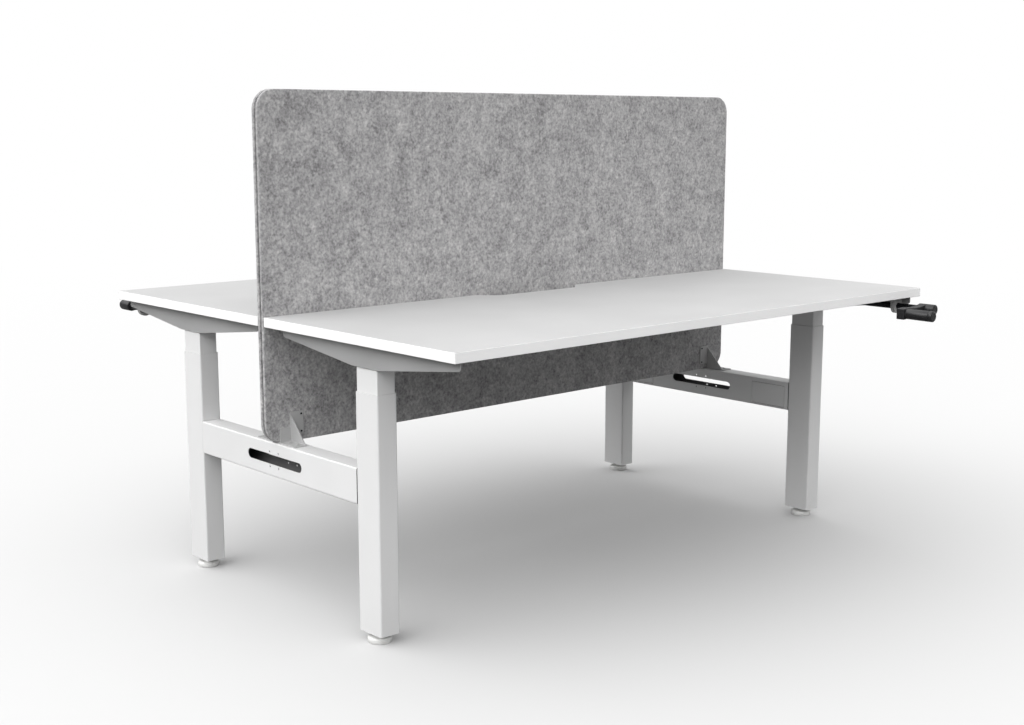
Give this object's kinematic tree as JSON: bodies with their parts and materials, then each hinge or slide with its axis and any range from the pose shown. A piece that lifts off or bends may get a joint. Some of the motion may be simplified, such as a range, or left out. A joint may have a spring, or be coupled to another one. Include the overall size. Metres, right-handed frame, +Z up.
{
  "type": "height-adjustable benching desk",
  "caption": "Back-to-back benching desk with crank-raised worktops on telescopic legs, end beams with cable slots and a shared felt screen.",
  "frame": {"origin": "on the floor, under the middle of the desk", "axes": "+X along the desk to the near user's right, +Y across it from the near user to the far user, +Z up"},
  "size_m": [1.8, 1.82, 1.3223],
  "materials": {
    "powder_coat": "white powder coat, satin",
    "laminate": "white laminate on board, satin",
    "felt": "pressed grey felt with lighter and darker fibres",
    "felt_core": "dark felt between the two sheets",
    "white_plastic": "white moulded plastic",
    "grey_plastic": "grey moulded plastic",
    "black_plastic": "black moulded plastic, satin",
    "dark_steel": "black oxide steel",
    "zinc_steel": "zinc plated steel"
  },
  "bodies": {
    "frame": {"near_left_leg": "powder_coat", "near_right_leg": "powder_coat", "far_left_leg": "powder_coat", "far_right_leg": "powder_coat", "near_left_bush": "grey_plastic", "near_right_bush": "grey_plastic", "far_left_bush": "grey_plastic", "far_right_bush": "grey_plastic", "near_left_nut_post": "zinc_steel", "near_right_nut_post": "zinc_steel", "far_left_nut_post": "zinc_steel", "far_right_nut_post": "zinc_steel", "left_beam": "powder_coat", "right_beam": "powder_coat", "near_left_beam_cover": "powder_coat", "near_right_beam_cover": "powder_coat", "far_left_beam_cover": "powder_coat", "far_right_beam_cover": "powder_coat", "near_left_screen_bracket": "powder_coat", "near_right_screen_bracket": "powder_coat", "far_left_screen_bracket": "powder_coat", "far_right_screen_bracket": "powder_coat", "near_felt": "felt", "far_felt": "felt", "screen_core": "felt_core"},
    "near_lift": {"near_worktop": "laminate", "near_left_arm": "powder_coat", "near_right_arm": "powder_coat", "near_left_column": "powder_coat", "near_right_column": "powder_coat", "near_left_gearbox": "dark_steel", "near_right_gearbox": "dark_steel", "near_crank_bearing": "grey_plastic"},
    "far_lift": {"far_worktop": "laminate", "far_left_arm": "powder_coat", "far_right_arm": "powder_coat", "far_left_column": "powder_coat", "far_right_column": "powder_coat", "far_left_gearbox": "dark_steel", "far_right_gearbox": "dark_steel", "far_crank_bearing": "grey_plastic"},
    "near_crank": {"near_crank_shaft": "dark_steel", "near_crank_handle": "black_plastic"},
    "far_crank": {"far_crank_shaft": "dark_steel", "far_crank_handle": "black_plastic"},
    "near_grip": {"near_crank_grip": "black_plastic"},
    "far_grip": {"far_crank_grip": "black_plastic"},
    "near_cross": {"near_cross_shaft": "zinc_steel"},
    "far_cross": {"far_cross_shaft": "zinc_steel"},
    "near_left_screw": {"near_left_spindle": "zinc_steel"},
    "near_right_screw": {"near_right_spindle": "zinc_steel"},
    "far_left_screw": {"far_left_spindle": "zinc_steel"},
    "far_right_screw": {"far_right_spindle": "zinc_steel"},
    "near_left_foot": {"near_left_glide": "white_plastic"},
    "near_right_foot": {"near_right_glide": "white_plastic"},
    "far_left_foot": {"far_left_glide": "white_plastic"},
    "far_right_foot": {"far_right_glide": "white_plastic"}
  },
  "joints": [
    {"name": "near_lift_slide", "type": "slide", "parent": "frame", "child": "near_lift", "axis": [0, 0, 1], "range_m": [-0.045, 0.35]},
    {"name": "far_lift_slide", "type": "slide", "parent": "frame", "child": "far_lift", "axis": [0, 0, 1], "range_m": [-0.045, 0.35]},
    {"name": "near_crank_turn", "type": "hinge", "parent": "near_lift", "child": "near_crank", "pos_m": [0.842, -0.8, 0.704], "axis": [0, 1, 0], "range_deg": [-2026, 15751]},
    {"name": "far_crank_turn", "type": "hinge", "parent": "far_lift", "child": "far_crank", "pos_m": [-0.842, 0.8, 0.704], "axis": [0, -1, 0], "range_deg": [-2026, 15751]},
    {"name": "near_grip_spin", "type": "hinge", "parent": "near_crank", "child": "near_grip", "pos_m": [0.7371, -0.866, 0.69942], "axis": [0, 1, 0], "continuous": true},
    {"name": "far_grip_spin", "type": "hinge", "parent": "far_crank", "child": "far_grip", "pos_m": [-0.7371, 0.866, 0.69942], "axis": [0, -1, 0], "continuous": true},
    {"name": "near_cross_turn", "type": "hinge", "parent": "near_lift", "child": "near_cross", "pos_m": [0, -0.404, 0.704], "axis": [1, 0, 0], "range_deg": [-2026, 15751]},
    {"name": "far_cross_turn", "type": "hinge", "parent": "far_lift", "child": "far_cross", "pos_m": [0, 0.404, 0.704], "axis": [-1, 0, 0], "range_deg": [-2026, 15751]},
    {"name": "near_left_screw_turn", "type": "hinge", "parent": "near_lift", "child": "near_left_screw", "pos_m": [-0.842, -0.404, 0.5], "axis": [0, 0, 1], "range_deg": [-2026, 15751]},
    {"name": "near_right_screw_turn", "type": "hinge", "parent": "near_lift", "child": "near_right_screw", "pos_m": [0.842, -0.404, 0.5], "axis": [0, 0, 1], "range_deg": [-2026, 15751]},
    {"name": "far_left_screw_turn", "type": "hinge", "parent": "far_lift", "child": "far_left_screw", "pos_m": [-0.842, 0.404, 0.5], "axis": [0, 0, 1], "range_deg": [-2026, 15751]},
    {"name": "far_right_screw_turn", "type": "hinge", "parent": "far_lift", "child": "far_right_screw", "pos_m": [0.842, 0.404, 0.5], "axis": [0, 0, 1], "range_deg": [-2026, 15751]},
    {"name": "near_left_levelling", "type": "slide", "parent": "frame", "child": "near_left_foot", "axis": [0, 0, 1], "range_m": [-0.015, 0]},
    {"name": "near_right_levelling", "type": "slide", "parent": "frame", "child": "near_right_foot", "axis": [0, 0, 1], "range_m": [-0.015, 0]},
    {"name": "far_left_levelling", "type": "slide", "parent": "frame", "child": "far_left_foot", "axis": [0, 0, 1], "range_m": [-0.015, 0]},
    {"name": "far_right_levelling", "type": "slide", "parent": "frame", "child": "far_right_foot", "axis": [0, 0, 1], "range_m": [-0.015, 0]}
  ],
  "couplings": [
    {"joint": "near_crank_turn", "follows": "near_lift_slide", "rad_per_m": 785.4},
    {"joint": "near_cross_turn", "follows": "near_lift_slide", "rad_per_m": 785.4},
    {"joint": "near_left_screw_turn", "follows": "near_lift_slide", "rad_per_m": 785.4},
    {"joint": "near_right_screw_turn", "follows": "near_lift_slide", "rad_per_m": 785.4},
    {"joint": "far_crank_turn", "follows": "far_lift_slide", "rad_per_m": 785.4},
    {"joint": "far_cross_turn", "follows": "far_lift_slide", "rad_per_m": 785.4},
    {"joint": "far_left_screw_turn", "follows": "far_lift_slide", "rad_per_m": 785.4},
    {"joint": "far_right_screw_turn", "follows": "far_lift_slide", "rad_per_m": 785.4}
  ]
}
